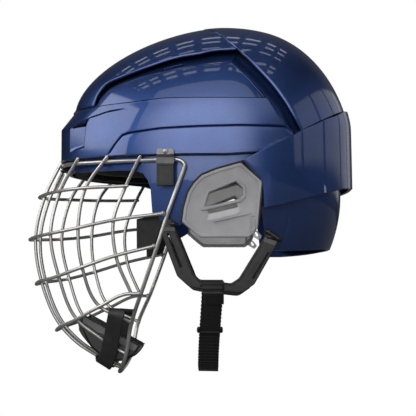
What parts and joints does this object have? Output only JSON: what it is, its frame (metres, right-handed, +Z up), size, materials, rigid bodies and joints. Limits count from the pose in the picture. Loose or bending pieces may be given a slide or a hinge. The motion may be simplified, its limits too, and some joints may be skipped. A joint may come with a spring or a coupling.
{
  "type": "ice hockey helmet",
  "caption": "Glossy vented hockey helmet with a flip-up wire face cage, clear ear guards, foam liner and a slack webbing chin strap on moulded yokes.",
  "frame": {"origin": "middle of the head inside the shell, at the height of the ears' tops", "axes": "+Z up, -Y towards the face, +X to the wearer's left"},
  "size_m": [0.2154, 0.3144, 0.3339],
  "materials": {
    "shell_navy": "glossy metallic navy lacquer on moulded plastic",
    "liner_foam": "matt black closed-cell foam",
    "comfort_fabric": "grey brushed knit over foam",
    "clear_plastic": "smoky clear moulded plastic",
    "black_plastic": "satin black moulded plastic",
    "soft_black_plastic": "satin black elastomer",
    "screw_steel": "plated steel",
    "cage_wire": "bright polished stainless wire",
    "cup_plastic": "translucent grey plastic",
    "cup_foam": "dark grey foam",
    "webbing_fabric": "black ribbed webbing"
  },
  "bodies": {
    "shell": {"front_shell": "shell_navy", "top_shell": "shell_navy", "rear_crown_shell": "shell_navy", "rear_shell": "shell_navy", "nape_shell": "shell_navy", "louvre_left": "shell_navy", "louvre_right": "shell_navy", "vent_channel_left": "shell_navy", "vent_channel_right": "shell_navy", "liner_front": "liner_foam", "liner_crown": "liner_foam", "liner_rear": "liner_foam", "liner_left": "liner_foam", "liner_right": "liner_foam", "forehead_pad": "comfort_fabric", "nape_pad": "comfort_fabric", "ear_guard_left": "clear_plastic", "ear_guard_right": "clear_plastic", "ear_loop_left": "clear_plastic", "ear_loop_right": "clear_plastic", "forehead_clip": "black_plastic", "forehead_strap": "clear_plastic", "forehead_screws": "screw_steel", "clip_base_left": "clear_plastic", "clip_base_right": "clear_plastic", "clip_screws": "screw_steel", "yoke_anchor_left": "black_plastic", "yoke_anchor_right": "black_plastic"},
    "cage": {"cage_rim": "cage_wire", "cage_bar_1": "cage_wire", "cage_bar_2": "cage_wire", "cage_bar_3": "cage_wire", "cage_bar_4": "cage_wire", "upright_left_1": "cage_wire", "upright_left_2": "cage_wire", "upright_left_3": "cage_wire", "upright_left_4": "cage_wire", "upright_right_1": "cage_wire", "upright_right_2": "cage_wire", "upright_right_3": "cage_wire", "upright_right_4": "cage_wire", "side_plate_left": "black_plastic", "side_plate_right": "black_plastic", "chin_cup": "cup_plastic", "chin_pad": "cup_foam", "chin_strap_left": "soft_black_plastic", "chin_strap_right": "soft_black_plastic"},
    "clip_flap_left": {"clip_flap_left": "black_plastic"},
    "clip_flap_right": {"clip_flap_right": "black_plastic"},
    "yoke_left": {"yoke_left": "soft_black_plastic"},
    "webbing": {"webbing": "webbing_fabric"},
    "web_slider": {"web_slider": "black_plastic"},
    "yoke_right": {"yoke_right": "soft_black_plastic"}
  },
  "joints": [
    {"name": "cage_flip", "type": "hinge", "parent": "shell", "child": "cage", "pos_m": [0, -0.1392, 0.0392], "axis": [-1, 0, 0], "range_deg": [0, 95]},
    {"name": "clip_left_open", "type": "hinge", "parent": "shell", "child": "clip_flap_left", "pos_m": [0.1061, -0.0353, 0.0394], "axis": [0, -1, 0], "range_deg": [0, 80]},
    {"name": "clip_right_open", "type": "hinge", "parent": "shell", "child": "clip_flap_right", "pos_m": [-0.1061, -0.0353, 0.0394], "axis": [0, 1, 0], "range_deg": [0, 80]},
    {"name": "strap_swing", "type": "hinge", "parent": "shell", "child": "yoke_left", "pos_m": [0.0962, -0.0285, -0.0215], "axis": [0, -0.9911, 0.1329], "range_deg": [-15, 15]},
    {"name": "webbing_level", "type": "hinge", "parent": "yoke_left", "child": "webbing", "pos_m": [0.0962, 0.007, -0.0775], "axis": [0, -0.9911, 0.1329], "range_deg": [-15, 15]},
    {"name": "yoke_right_swing", "type": "hinge", "parent": "shell", "child": "yoke_right", "pos_m": [-0.0962, -0.0285, -0.0215], "axis": [0, -0.9911, 0.1329], "range_deg": [-15, 15]},
    {"name": "slider_travel", "type": "hinge", "parent": "webbing", "child": "web_slider", "pos_m": [-0.15343, 0.007, 0.11618], "axis": [0, 1, 0], "range_deg": [-3, 3]}
  ],
  "couplings": [
    {"joint": "webbing_level", "follows": "strap_swing", "ratio": -1},
    {"joint": "yoke_right_swing", "follows": "strap_swing", "ratio": 1}
  ]
}
